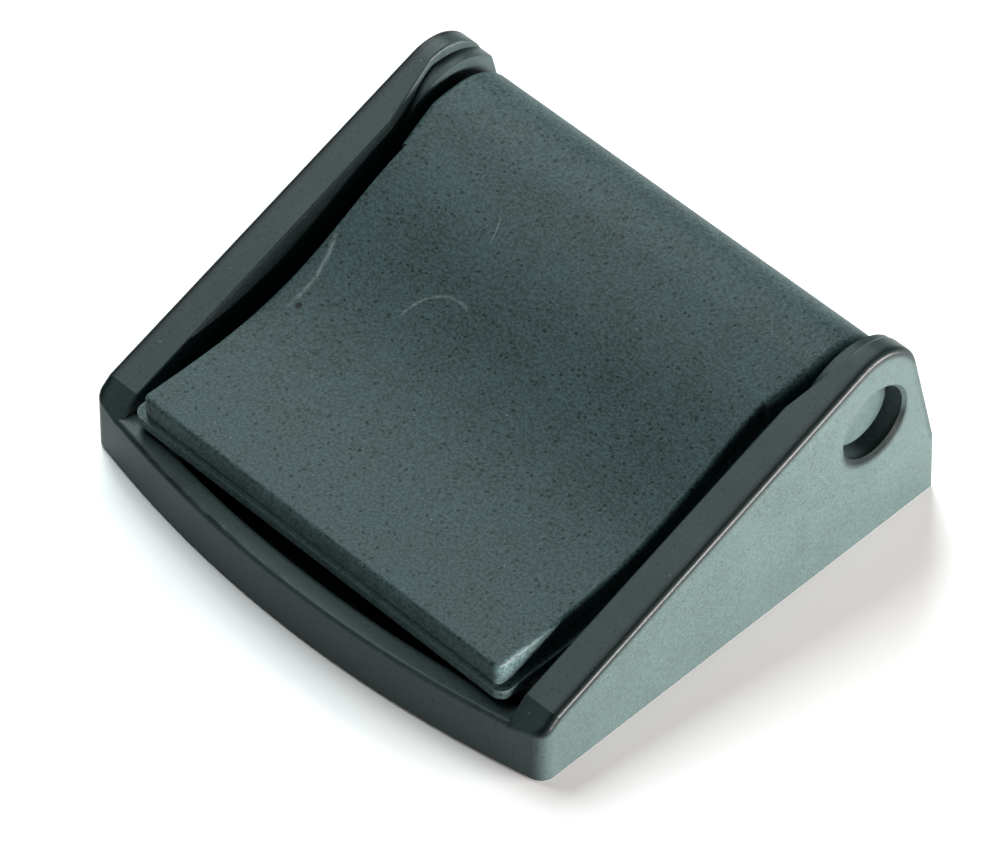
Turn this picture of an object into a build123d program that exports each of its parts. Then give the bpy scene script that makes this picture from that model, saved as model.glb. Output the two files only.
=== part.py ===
from build123d import *
from math import cos, radians, sin
import os

# Webbing cam buckle. X runs across the belt, +Y towards the hinge, +Z up.
# The origin is the middle of the footprint, on the base. All sizes are in millimetres.

# Frame
channel_width = 52.0          # between the cheeks, for 50 mm webbing
cheek_thickness = 4.25        # at the base
draft_angle = 1.0             # the outer walls lean in by this towards the top
frame_length = 56.0
bow_rise = 3.6                # how far the front bar bows out past the cheeks
bar_height = 6.3
bar_depth = 2.6
floor_thickness = 3.0
foot_thickness = 2.5          # the bar's low foot, ahead of the web slot
slot_start = 5.5              # the web slot, behind the cheeks' front corners
slot_end = 13.0
toe_end = 1.9                 # where each cheek's steep front slope meets its long one
toe_height = 8.15
toe_slope = 0.84
knee_height = 6.6             # the rear edge stands upright below this and leans forward above it
hump_radius = 5.6
hump_above_pivot = 2.95
hump_behind_pivot = 0.25
relief_start = 35.6           # behind here the cheeks' inner faces open out round the barrel
relief_full = 42.5
relief_depth = 1.5
boss_radius = 7.4
front_corner_radius = 1.6     # in plan
cheek_edge_radius = 0.6
inner_edge_radius = 0.25
base_edge = 0.3
bar_edge_radius = 0.5
web_edge_radius = 1.0         # where webbing bends over the floor and the bar

# Hinge
pivot_from_rear = 8.65
pivot_height = 15.1
pin_radius = 4.0
pin_recess = 2.4              # from a cheek's outer face in to the pin's end
pin_chamfer = 0.4
hole_edge_break = 0.35
running_clearance = 0.05

# Lever
plate_half_width = 23.8
shoulder_half_width = 24.3    # at the step, flaring to the barrel's full width
barrel_half_width = 25.2
barrel_radius = 6.4
plate_front = 0.5             # behind the cheeks' front corners
plate_corner_radius = 0.8
plate_top = [                 # run behind the corners and height, ahead of the crest
    (0.5, 10.8),
    (12.0, 11.0),
    (20.0, 12.7),
    (27.0, 15.9),
    (33.5, 19.1),
    (39.0, 20.9),
]
plate_depth = 3.6             # from the top surface to the lower edge of the skirt
plate_skin = 2.2
skirt_thickness = 1.6
brim_thickness = 1.1
brim_front = 0.5              # how far the brim stands out in front and at the sides
brim_side = 1.0
brim_corner_radius = 1.3
plate_edge_radius = 0.45
barrel_edge_radius = 1.0
rib_count = 5
rib_thickness = 1.5
lever_step = 35.3             # where the plate widens into the shoulder
flare_length = 5.0

# Cam, with angles about the pivot from the rear, downwards negative
cam_radius = 10.9
tooth_depth = 1.0
tooth_count = 7
cam_rear_angle = -72.0
cam_front_angle = -114.0
barrel_end_angle = -48.0
anvil_rib_height = 0.4
anvil_rib_width = 0.9
anvil_rib_count = 5
anvil_rib_pitch = 2.4

half_channel = channel_width / 2
half_width = half_channel + cheek_thickness
rear_y = frame_length / 2
front_y = -frame_length / 2
corner_y = front_y + bow_rise
pivot_y = rear_y - pivot_from_rear
tall = 40.0                   # higher than any piece, for cutting tools


def side_plate(outline, x_start, x_end):
    """A flat outline in Y and Z, made solid from x_start to x_end."""
    return extrude(Plane.YZ.offset(x_start) * outline, x_end - x_start)


def both_sides(solid):
    """A solid on the right and its mirror image on the left."""
    return solid + mirror(solid, Plane.YZ)


def round_bar(radius, x_start, x_end, height=pivot_height):
    """A cylinder on the hinge axis."""
    centre = Pos(pivot_y, height)
    return side_plate(centre * Circle(radius), x_start, x_end)


def on_pivot(radius, angle):
    """A point in Y and Z at a radius and angle about the pivot."""
    return (pivot_y + radius * cos(radians(angle)), pivot_height + radius * sin(radians(angle)))


def bow(half_span, y_end, rise):
    """An arc across the buckle that bulges forward in its middle."""
    return ThreePointArc((-half_span, y_end), (0, y_end - rise), (half_span, y_end))


def cheek_outline():
    """A wedge with a low front, a straight sloping top and a round hump over the pin."""
    hump = Pos(pivot_y + hump_behind_pivot, pivot_height + hump_above_pivot) * Circle(hump_radius)
    foot = Polyline(
        (corner_y + toe_end, toe_height),
        (front_y, toe_height - toe_slope * (toe_end + bow_rise)),
        (front_y, 0),
        (rear_y, 0),
        (rear_y, knee_height),
    )
    return make_hull(hump.edges() + foot.edges())


def cheek_relief():
    """The space each inner face gives up above the hinge axis, round the boss for the pin."""
    start_y = corner_y + relief_start
    full_y = corner_y + relief_full
    plan = Polyline(
        (half_channel - 1, start_y),
        (half_channel, start_y),
        (half_channel + relief_depth, full_y),
        (half_channel + relief_depth, rear_y + 1),
        (half_channel - 1, rear_y + 1),
        close=True,
    )
    space = extrude(Plane.XY.offset(pivot_height) * make_face(plan), tall)
    return space - round_bar(boss_radius, 0, tall)


def envelope():
    """The outer form: a bowed front with soft corners, drafted walls and a broken base edge."""
    front = bow(half_width, corner_y, bow_rise)
    rest = Polyline(front @ 1, (half_width, rear_y), (-half_width, rear_y), front @ 0)
    plan = make_face([front, rest])
    plan = fillet(plan.vertices().group_by(Axis.Y)[0], front_corner_radius)
    block = extrude(plan, tall, taper=draft_angle)
    return chamfer(block.edges().group_by(Axis.Z)[0], base_edge)


def front_bar():
    """The bowed bar, which runs just into the cheeks' rounded edges, with its low foot behind it."""
    outer = bow(half_width + 1, corner_y - 1, bow_rise)
    inner = bow(half_width, corner_y + bar_depth, bow_rise)
    ends = [Line(outer @ 0, inner @ 0), Line(outer @ 1, inner @ 1)]
    bar = extrude(make_face([outer, inner] + ends), bar_height) & envelope()
    bar &= Box(channel_width + 2 * inner_edge_radius, 2 * tall, 2 * tall)
    top_edges = bar.edges().group_by(Axis.Z)[-1]
    bar = fillet(top_edges.filter_by(GeomType.CIRCLE), bar_edge_radius)
    foot = Pos(0, corner_y + slot_start, 0) * Box(
        channel_width + 2,
        slot_start + bow_rise / 2,
        foot_thickness,
        align=(Align.CENTER, Align.MAX, Align.MIN),
    )
    rear_top = foot.edges().filter_by(Axis.X).group_by(Axis.Y)[-1].sort_by(Axis.Z)[-1:]
    return bar + (fillet(rear_top, web_edge_radius) & envelope())


def floor_plate():
    """The floor under the cam, with rounded ends where the webbing bends, and low anvil ribs."""
    slab = Pos(0, corner_y + slot_end, 0) * Box(
        channel_width + 2,
        rear_y - corner_y - slot_end,
        floor_thickness,
        align=(Align.CENTER, Align.MIN, Align.MIN),
    )
    front_edges = slab.edges().filter_by(Axis.X).group_by(Axis.Y)[0]
    rear_top = slab.edges().filter_by(Axis.X).group_by(Axis.Y)[-1].sort_by(Axis.Z)[-1:]
    slab = fillet(front_edges + rear_top, web_edge_radius) & envelope()
    rib = Pos(0, pivot_y, floor_thickness) * Box(channel_width, anvil_rib_width, 2 * anvil_rib_height)
    for number in range(anvil_rib_count):
        offset = (number - (anvil_rib_count - 1) / 2) * anvil_rib_pitch
        slab += Pos(0, offset, 0) * rib
    return slab


def inner_top_edges(plate):
    """The edges between a cheek's top faces and its inner side."""
    side = half_channel + 0.8 * relief_depth
    tops = plate.faces().filter_by(lambda face: abs(face.normal_at().X) < 0.01 and face.center().X > side)
    edges = ShapeList()
    for top in tops.filter_by(lambda face: face.center().Z > knee_height):
        edges += top.edges().filter_by(Axis.X, reverse=True)
    return edges.filter_by(lambda edge: edge.center().X < half_channel + 1.1 * relief_depth)


def outer_edges(plate):
    """The edges round a cheek's outer wall, from above the bar over the hump and down to the base."""
    rims = plate.edges().filter_by(lambda edge: edge.center().X > half_channel + 0.1)
    rims = rims.filter_by(Axis.X, reverse=True)
    rims = rims.filter_by(lambda edge: edge.center().Z > base_edge)
    return rims.filter_by(lambda edge: edge.center().Z > bar_height - 1 or edge.center().Y > rear_y - 1)


def cheek():
    """The right-hand cheek, with soft edges, the relief round the pin's boss, and the pin's hole."""
    plate = side_plate(cheek_outline(), half_channel, half_width + 1) & envelope()
    plate = fillet(outer_edges(plate), cheek_edge_radius)
    plate -= cheek_relief()
    plate = fillet(inner_top_edges(plate), inner_edge_radius)
    plate -= round_bar(pin_radius, 0, tall)
    rim = plate.faces().filter_by(lambda face: face.normal_at().X > 0.9).sort_by(SortBy.AREA)[-1]
    return chamfer(rim.inner_wires()[0].edges(), hole_edge_break)


def frame():
    return both_sides(cheek()) + front_bar() + floor_plate()


def pivot_pin():
    end = half_width - pin_recess
    pin = round_bar(pin_radius, -end, end)
    return chamfer(pin.edges().filter_by(GeomType.CIRCLE), pin_chamfer)


def plate_line():
    """The plate's top line from the front: a shallow thumb hollow, then a rise to the barrel's crest."""
    crest = (pivot_y, pivot_height + barrel_radius)
    hollow = [(corner_y + run, height) for run, height in plate_top]
    return Spline(hollow + [crest], tangents=[(1, 0), (1, 0)])


def plate_layer(upper_drop, lower_drop, forward=0.0):
    """The area between two copies of the plate's top line, dropped by two amounts."""
    upper = Pos(-forward, -upper_drop) * plate_line()
    lower = Pos(-forward, -lower_drop) * plate_line()
    ends = [Line(upper @ 0, lower @ 0), Line(upper @ 1, lower @ 1)]
    return make_face([upper, lower] + ends)


def lever_plan(half_span, front, corner_radius):
    """A tall block over the plate's footprint, with rounded front corners."""
    step_y = corner_y + lever_step
    base = Pos(0, (front + step_y) / 2) * Rectangle(2 * half_span, step_y - front)
    corners = base.vertices().group_by(Axis.Y)[0]
    return extrude(fillet(corners, corner_radius), tall)


def thumb_plate():
    """The plate and its skirt, with a brim round the lower edge."""
    front = corner_y + plate_front
    plate = side_plate(plate_layer(0, plate_depth), -half_width, half_width)
    plate &= lever_plan(plate_half_width, front, plate_corner_radius)
    top = plate.faces().filter_by(GeomType.EXTRUSION).sort_by(Axis.Z)[-1]
    plate = fillet(top.edges().sort_by(Axis.Y)[:-1], plate_edge_radius)
    low_layer = plate_layer(plate_depth - brim_thickness, plate_depth, brim_front)
    brim = side_plate(low_layer, -half_width, half_width)
    brim &= lever_plan(plate_half_width + brim_side, front - brim_front, brim_corner_radius)
    return plate + brim


def plate_hollow():
    """The space under the plate, left clear between the skirt, the cam and the ribs."""
    span = 2 * (plate_half_width - skirt_thickness)
    front = corner_y + plate_front + skirt_thickness
    back = corner_y + lever_step
    space = side_plate(plate_layer(plate_skin, plate_depth + 1), -half_width, half_width)
    space &= Pos(0, (front + back) / 2, 0) * Box(span, back - front, 2 * tall)
    rib = Box(rib_thickness, 2 * tall, 2 * tall)
    for number in range(rib_count):
        place = span * ((number + 1) / (rib_count + 1) - 0.5)
        space -= Pos(place, 0, 0) * rib
    return space


def cam_outline():
    """Saw teeth on an arc under the pivot. Their steep sides face forward, against the belt's pull."""
    pitch = (cam_front_angle - cam_rear_angle) / tooth_count
    root = cam_radius - tooth_depth
    points = [on_pivot(barrel_radius, barrel_end_angle), on_pivot(root, cam_rear_angle)]
    for number in range(tooth_count):
        points.append(on_pivot(cam_radius, cam_rear_angle + (number + 0.8) * pitch))
        points.append(on_pivot(root, cam_rear_angle + (number + 1) * pitch))
    points.append((corner_y + lever_step, pivot_height + 2))
    points.append((pivot_y, pivot_height + 2))
    return make_face(Polyline(*points, close=True))


def shoulder_plan():
    """The footprint of the shoulder and barrel, which flares from the step."""
    step_y = corner_y + lever_step
    flare = Polyline(
        (0, step_y),
        (shoulder_half_width, step_y),
        (barrel_half_width, step_y + flare_length),
        (barrel_half_width, rear_y),
        (0, rear_y),
        close=True,
    )
    return extrude(Plane.XY.offset(-tall) * make_face(flare), 2 * tall)


def barrel():
    section = Pos(pivot_y, pivot_height) * Circle(barrel_radius) + cam_outline()
    block = side_plate(section, -barrel_half_width, barrel_half_width)
    block += side_plate(plate_layer(0, plate_depth), -barrel_half_width, barrel_half_width)
    block &= both_sides(shoulder_plan())
    end_edges = block.edges().filter_by(lambda edge: abs(edge.center().X) > plate_half_width)
    crest_edges = end_edges.filter_by(lambda edge: edge.center().Z > pivot_height + barrel_radius / 2)
    return fillet(crest_edges.filter_by(GeomType.BSPLINE), barrel_edge_radius)


def cam_lever():
    lever = thumb_plate() + barrel() - plate_hollow()
    return lever - round_bar(pin_radius + running_clearance, -tall, tall)


os.makedirs("parts", exist_ok=True)
export_step(frame(), "parts/frame.step")
export_step(cam_lever(), "parts/cam_lever.step")
export_step(pivot_pin(), "parts/pivot_pin.step")
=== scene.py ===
"""Looks for the webbing cam buckle: camera, studio and moulded nylon materials."""

import math

import bpy
from mathutils import Matrix, Vector


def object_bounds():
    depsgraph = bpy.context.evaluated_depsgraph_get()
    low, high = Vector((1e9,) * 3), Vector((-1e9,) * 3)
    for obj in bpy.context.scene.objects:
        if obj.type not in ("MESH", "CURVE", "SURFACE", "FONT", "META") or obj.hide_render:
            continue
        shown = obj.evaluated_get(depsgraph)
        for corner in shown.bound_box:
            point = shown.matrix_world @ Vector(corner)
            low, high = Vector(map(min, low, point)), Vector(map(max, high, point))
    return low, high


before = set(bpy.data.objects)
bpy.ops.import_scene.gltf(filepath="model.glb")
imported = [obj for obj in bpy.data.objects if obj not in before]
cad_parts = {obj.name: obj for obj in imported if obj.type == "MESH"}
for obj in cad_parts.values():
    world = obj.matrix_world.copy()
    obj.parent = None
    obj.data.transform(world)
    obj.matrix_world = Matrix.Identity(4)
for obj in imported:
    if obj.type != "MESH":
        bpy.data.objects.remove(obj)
cad_low, cad_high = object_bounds()
MM = 0.001

# Base colours, linear. The nylons' edges have tones of their own: the lever's lighter edge tone is wear,
# and the frame's and pin's dark edge tone is painted shade.
FRAME_TONE = (0.0235, 0.037, 0.0365)
# Painted shade: the frame's and pin's edges are darkened the way rounded edges turned away from the
# lamps look.
FRAME_EDGE_SHADE_TONE = (0.006, 0.01, 0.01, 1)
LEVER_TONE = (0.031, 0.053, 0.054)
LEVER_EDGE_TONE = (0.07, 0.095, 0.095, 1)
DUST_TONE = (0.16, 0.2, 0.2, 1)
SCUFF_TONE = (0.17, 0.21, 0.21, 1)
# Painted shade: a dark band along the frame's outer top rims, standing in for rounded edges that face
# dark surroundings.
PAINTED_RIM_SHADE_TONE = (0.003, 0.006, 0.006, 1)
PIT_TONE = (0.002, 0.002, 0.002, 1)

# Lamp and sky colours
COOL_LIGHT = (0.92, 1.0, 1.0)
WARM_LIGHT = (1.0, 0.91, 0.88)
SKY = (0.92, 0.96, 1.0, 1)

# Sizes in the plastic's surface, in millimetres
CLOUD_SIZE = 6.0
SCUFF_GAP_SIZE = 0.8
DENT_SPACING, DENT_SIZE = 0.7, 0.42
DUST_SPACING, DUST_SIZE = 2.3, 0.24
EDGE_WEAR_AND_SHADE_REACH = 0.35
PAINTED_RIM_SHADE_REACH = 1.3

# Scuffs on the thumb plate, in plan: centre, radius, width, first and last angle
SCUFFS = (
    ((-7.8, -1.6), 4.1, 0.22, 60, 190),
    ((-35.2, -5.3), 13.6, 0.35, -9, 33),
    ((-25.6, 2.9), 17.0, 0.12, 16, 27),
)
# Pits on the thumb plate, in plan: centre and radius
PITS = (
    ((-20.9, -6.2), 0.42),
    ((-4.3, -14.2), 0.24),
    ((-6.2, -11.4), 0.2),
)


# Camera and studio

def place_camera(azimuth, elevation, roll, distance, target, aim_right, aim_up, lens):
    """A camera at a distance from target, which appears aim_right and aim_up of the picture's middle."""
    a, e, r = (math.radians(angle) for angle in (azimuth, elevation, roll))
    back = Vector((math.sin(a) * math.cos(e), -math.cos(a) * math.cos(e), math.sin(e)))
    level = Vector((math.cos(a), math.sin(a), 0))
    upright = back.cross(level)
    right = level * math.cos(r) + upright * math.sin(r)
    up = upright * math.cos(r) - level * math.sin(r)
    place = target + back * distance - right * aim_right - up * aim_up
    data = bpy.data.cameras.new("camera")
    data.lens = lens
    data.sensor_width = 36
    data.clip_start = 0.01
    camera = bpy.data.objects.new("camera", data)
    camera.matrix_world = Matrix((right, up, back)).transposed().to_4x4()
    camera.matrix_world.translation = place
    bpy.context.scene.collection.objects.link(camera)
    bpy.context.scene.camera = camera


def add_floor():
    """A pale, dull floor 3 m square."""
    mesh = bpy.data.meshes.new("studio_floor")
    half = 1.5
    corners = [(-half, -half, 0), (half, -half, 0), (half, half, 0), (-half, half, 0)]
    mesh.from_pydata(corners, [], [(0, 1, 2, 3)])
    floor = bpy.data.objects.new("studio_floor", mesh)
    bpy.context.scene.collection.objects.link(floor)
    material = bpy.data.materials.new("pale_floor")
    material.use_nodes = True
    shader = material.node_tree.nodes["Principled BSDF"]
    shader.inputs["Base Color"].default_value = (0.9, 0.9, 0.9, 1)
    shader.inputs["Roughness"].default_value = 0.9
    mesh.materials.append(material)


def add_light(name, azimuth, elevation, distance, width, height, power, colour):
    """A soft lamp aimed at the buckle's middle, at an azimuth from +X towards +Y."""
    a, e = math.radians(azimuth), math.radians(elevation)
    data = bpy.data.lights.new(name, "AREA")
    data.shape = "RECTANGLE"
    data.size = width
    data.size_y = height
    data.energy = power
    data.color = colour
    lamp = bpy.data.objects.new(name, data)
    middle = (cad_low + cad_high) / 2
    offset = Vector((math.cos(a) * math.cos(e), math.sin(a) * math.cos(e), math.sin(e)))
    lamp.location = middle + offset * distance
    lamp.rotation_euler = offset.to_track_quat("Z", "Y").to_euler()
    bpy.context.scene.collection.objects.link(lamp)


def set_world(strength):
    world = bpy.data.worlds.new("studio")
    world.use_nodes = True
    background = world.node_tree.nodes["Background"]
    background.inputs["Color"].default_value = SKY
    background.inputs["Strength"].default_value = strength
    bpy.context.scene.world = world


# Materials

class Graph:
    """A material's node tree, built a node at a time."""

    def __init__(self, name):
        self.material = bpy.data.materials.new(name)
        self.material.use_nodes = True
        self.nodes = self.material.node_tree.nodes
        self.links = self.material.node_tree.links
        self.shader = self.nodes["Principled BSDF"]
        coordinates = self.nodes.new("ShaderNodeTexCoord")
        self.place = coordinates.outputs["Object"]
        self.upward = self.remap(self.split(coordinates.outputs["Normal"], 2), 0.3, 0.5, 0.0, 1.0)

    def feed(self, socket, value):
        if isinstance(value, (int, float, tuple)):
            socket.default_value = value
        else:
            self.links.new(value, socket)

    def noise(self, size_mm, detail=2.0, roughness=0.5):
        """Cloudy noise with features of about that size."""
        node = self.nodes.new("ShaderNodeTexNoise")
        node.inputs["Scale"].default_value = 1 / (size_mm * MM)
        node.inputs["Detail"].default_value = detail
        node.inputs["Roughness"].default_value = roughness
        self.links.new(self.place, node.inputs["Vector"])
        return node.outputs["Fac"]

    def flecks(self, spacing_mm, size_mm):
        """1 in small round spots, one at random in each cell of that spacing, 0 elsewhere."""
        node = self.nodes.new("ShaderNodeTexVoronoi")
        node.inputs["Scale"].default_value = 1 / (spacing_mm * MM)
        self.links.new(self.place, node.inputs["Vector"])
        reach = size_mm / spacing_mm / 2
        spot = self.remap(node.outputs["Distance"], 0.6 * reach, reach, 1.0, 0.0)
        chosen = self.remap(self.split(node.outputs["Color"], 0), 0.5, 0.55, 0.0, 1.0)
        return self.math("MULTIPLY", spot, chosen)

    def split(self, vector, axis):
        node = self.nodes.new("ShaderNodeSeparateXYZ")
        self.links.new(vector, node.inputs[0])
        return node.outputs[axis]

    def polar(self, centre):
        """Distance and angle in plan from a point in millimetres."""
        offsets = [
            self.math("SUBTRACT", self.split(self.place, axis), centre[axis] * MM) for axis in (0, 1)
        ]
        squares = [self.math("MULTIPLY", offset, offset) for offset in offsets]
        reach = self.math("SQRT", self.math("ADD", squares[0], squares[1]))
        return reach, self.math("ARCTAN2", offsets[1], offsets[0])

    def spot(self, centre, radius):
        """1 in a small round spot in plan, in millimetres."""
        return self.remap(self.polar(centre)[0], 0.6 * radius * MM, radius * MM, 1.0, 0.0)

    def arc(self, centre, radius, width, start, end):
        """A thin line along part of a circle in plan: millimetres, and degrees from +X towards +Y."""
        reach, turn = self.polar(centre)
        miss = self.math("ABSOLUTE", self.math("SUBTRACT", reach, radius * MM))
        line = self.remap(miss, 0.0, width * MM, 1.0, 0.0)
        middle, half = math.radians((start + end) / 2), math.radians((end - start) / 2)
        astray = self.math("ABSOLUTE", self.math("SUBTRACT", turn, middle))
        return self.math("MULTIPLY", line, self.remap(astray, 0.6 * half, half, 1.0, 0.0))

    def edges(self, radius_mm):
        """0 on flat faces, rising to 1 on sharp edges."""
        soft = self.nodes.new("ShaderNodeBevel")
        soft.samples = 4
        soft.inputs["Radius"].default_value = radius_mm * MM
        sharp = self.nodes.new("ShaderNodeNewGeometry").outputs["Normal"]
        turn = self.nodes.new("ShaderNodeVectorMath")
        turn.operation = "DOT_PRODUCT"
        self.links.new(soft.outputs["Normal"], turn.inputs[0])
        self.links.new(sharp, turn.inputs[1])
        return self.remap(turn.outputs["Value"], 0.86, 0.98, 1.0, 0.0)

    def outer_rims(self, radius_mm):
        """1 along the edges where an outer side face turns into a top face, 0 elsewhere; the mask for
        painted shade on these rims.
        """
        soft = self.nodes.new("ShaderNodeBevel")
        soft.samples = 8
        soft.inputs["Radius"].default_value = radius_mm * MM
        side = self.math("SIGN", self.split(self.place, 0))
        outward = self.math("MULTIPLY", self.split(soft.outputs["Normal"], 0), side)
        both = self.math("MULTIPLY", outward, self.split(soft.outputs["Normal"], 2))
        return self.remap(both, 0.04, 0.16, 0.0, 1.0)

    def math(self, operation, first, second=0.0):
        node = self.nodes.new("ShaderNodeMath")
        node.operation = operation
        self.feed(node.inputs[0], first)
        self.feed(node.inputs[1], second)
        return node.outputs[0]

    def remap(self, value, low, high, to_low, to_high):
        """value from low..high to to_low..to_high, clamped."""
        node = self.nodes.new("ShaderNodeMapRange")
        self.feed(node.inputs["Value"], value)
        ends = {"From Min": low, "From Max": high, "To Min": to_low, "To Max": to_high}
        for name, number in ends.items():
            node.inputs[name].default_value = number
        return node.outputs["Result"]

    def mix(self, factor, first, second):
        """From the first colour to the second as factor goes from 0 to 1."""
        node = self.nodes.new("ShaderNodeMix")
        node.data_type = "RGBA"
        self.feed(node.inputs["Factor"], factor)
        self.feed(node.inputs[6], first)
        self.feed(node.inputs[7], second)
        return node.outputs[2]

    def bump(self, height, distance_mm, below=None):
        node = self.nodes.new("ShaderNodeBump")
        node.inputs["Distance"].default_value = distance_mm * MM
        self.links.new(height, node.inputs["Height"])
        if below is not None:
            self.links.new(below, node.inputs["Normal"])
        return node.outputs["Normal"]


def moulded_nylon(
    name, tone, edge_wear_and_shade_tone, gloss, roughness, edge_polish, grain, scuffs=(), pits=(), painted_rim_shade=False
):
    """Black nylon from a spark-eroded mould: grain, cloudy tone, edges in a tone of their own (a lighter
    one is wear, a darker one is painted shade), dents, dust and marks, and if asked, painted shade along
    the outer top rims.

    edge_polish is how much less rough the edges are, and below 0 they are rougher. grain holds
    the grain's size and depth in millimetres and how far its tone varies."""
    graph = Graph(name)
    grain_mm, depth_mm, contrast = grain
    coarse = graph.noise(grain_mm, 2.5, 0.65)
    fine = graph.noise(0.35 * grain_mm, 1.0, 0.5)
    cloud = graph.noise(CLOUD_SIZE, 3.0, 0.6)
    edge_wear_and_shade = graph.edges(EDGE_WEAR_AND_SHADE_REACH)
    dark = tuple(part * (1 - contrast) for part in tone) + (1,)
    light = tuple(part * (1 + contrast) for part in tone) + (1,)
    dent_tone = tuple(part * (1 - contrast) ** 2 for part in tone) + (1,)
    speckle = graph.remap(coarse, 0.4, 0.6, 0.0, 1.0)
    patches = graph.remap(cloud, 0.35, 0.65, 0.0, 1.0)
    speckle_share = 0.7
    blend = graph.math(
        "ADD",
        graph.math("MULTIPLY", speckle, speckle_share),
        graph.math("MULTIPLY", patches, 1 - speckle_share),
    )
    colour = graph.mix(blend, dark, light)
    dents = graph.flecks(DENT_SPACING, DENT_SIZE)
    colour = graph.mix(graph.math("MULTIPLY", dents, 0.8), colour, dent_tone)
    # Edges take the edge tone: wear where it is lighter (lever), painted shade where it is darker
    # (frame, pin).
    colour = graph.mix(graph.math("MULTIPLY", edge_wear_and_shade, 0.6), colour, edge_wear_and_shade_tone)
    dust = graph.flecks(DUST_SPACING, DUST_SIZE)
    colour = graph.mix(graph.math("MULTIPLY", dust, 0.6), colour, DUST_TONE)
    # Painted shade: a dark band along the outer top rims of the frame.
    if painted_rim_shade:
        colour = graph.mix(graph.outer_rims(PAINTED_RIM_SHADE_REACH), colour, PAINTED_RIM_SHADE_TONE)
    for pit in pits:
        colour = graph.mix(graph.math("MULTIPLY", graph.spot(*pit), graph.upward), colour, PIT_TONE)
    scuffed = 0.0
    for scuff in scuffs:
        scuffed = graph.math("ADD", graph.arc(*scuff), scuffed)
    if scuffs:
        broken = graph.remap(graph.noise(SCUFF_GAP_SIZE, 3.0, 0.7), 0.4, 0.6, 0.15, 0.75)
        scuffed = graph.math("MULTIPLY", graph.math("MULTIPLY", scuffed, broken), graph.upward)
        colour = graph.mix(scuffed, colour, SCUFF_TONE)
    graph.links.new(colour, graph.shader.inputs["Base Color"])
    spread = 0.05
    sheen = graph.remap(cloud, 0.3, 0.7, roughness - spread, roughness + spread)
    sheen = graph.math("SUBTRACT", sheen, graph.math("MULTIPLY", edge_wear_and_shade, edge_polish))
    graph.links.new(sheen, graph.shader.inputs["Roughness"])
    graph.shader.inputs["Specular IOR Level"].default_value = gloss
    skin = graph.bump(coarse, depth_mm)
    skin = graph.bump(fine, 0.3 * depth_mm, skin)
    skin = graph.bump(graph.math("SUBTRACT", 1.0, dents), 0.4 * depth_mm, skin)
    graph.links.new(skin, graph.shader.inputs["Normal"])
    return graph.material


def paint(node, material):
    """A CAD node keeps its shape and takes the material in every slot."""
    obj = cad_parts[node]
    for slot in obj.material_slots:
        slot.material = material


place_camera(
    azimuth=45.46,
    elevation=47.65,
    roll=-0.28,
    distance=0.671,
    target=Vector((0, 0.6 * MM, 8 * MM)),
    aim_right=0.444 * MM,
    aim_up=0.840 * MM,
    lens=255.9,
)
add_floor()
bpy.context.scene.view_settings.view_transform = "Standard"
set_world(strength=0.08)
add_light(
    "key", azimuth=145, elevation=36, distance=0.8,
    width=0.4, height=0.3, power=6.6, colour=COOL_LIGHT,
)
add_light(
    "left_fill", azimuth=178, elevation=62, distance=0.8,
    width=0.5, height=0.4, power=5.4, colour=COOL_LIGHT,
)
add_light(
    "card_right", azimuth=16, elevation=0, distance=0.25,
    width=0.24, height=0.02, power=5.6, colour=WARM_LIGHT,
)

frame_nylon = moulded_nylon(
    "frame_nylon",
    FRAME_TONE,
    FRAME_EDGE_SHADE_TONE,
    gloss=0.11,
    roughness=0.39,
    edge_polish=-0.15,
    grain=(0.3, 0.012, 0.15),
    painted_rim_shade=True,
)
lever_nylon = moulded_nylon(
    "lever_nylon",
    LEVER_TONE,
    LEVER_EDGE_TONE,
    gloss=0.1,
    roughness=0.5,
    edge_polish=0.12,
    grain=(0.3, 0.05, 0.48),
    scuffs=SCUFFS,
    pits=PITS,
)
pin_acetal = moulded_nylon(
    "pin_acetal",
    FRAME_TONE,
    FRAME_EDGE_SHADE_TONE,
    gloss=0.22,
    roughness=0.32,
    edge_polish=-0.12,
    grain=(0.5, 0.006, 0.12),
)
paint("frame", frame_nylon)
paint("cam_lever", lever_nylon)
paint("pivot_pin", pin_acetal)
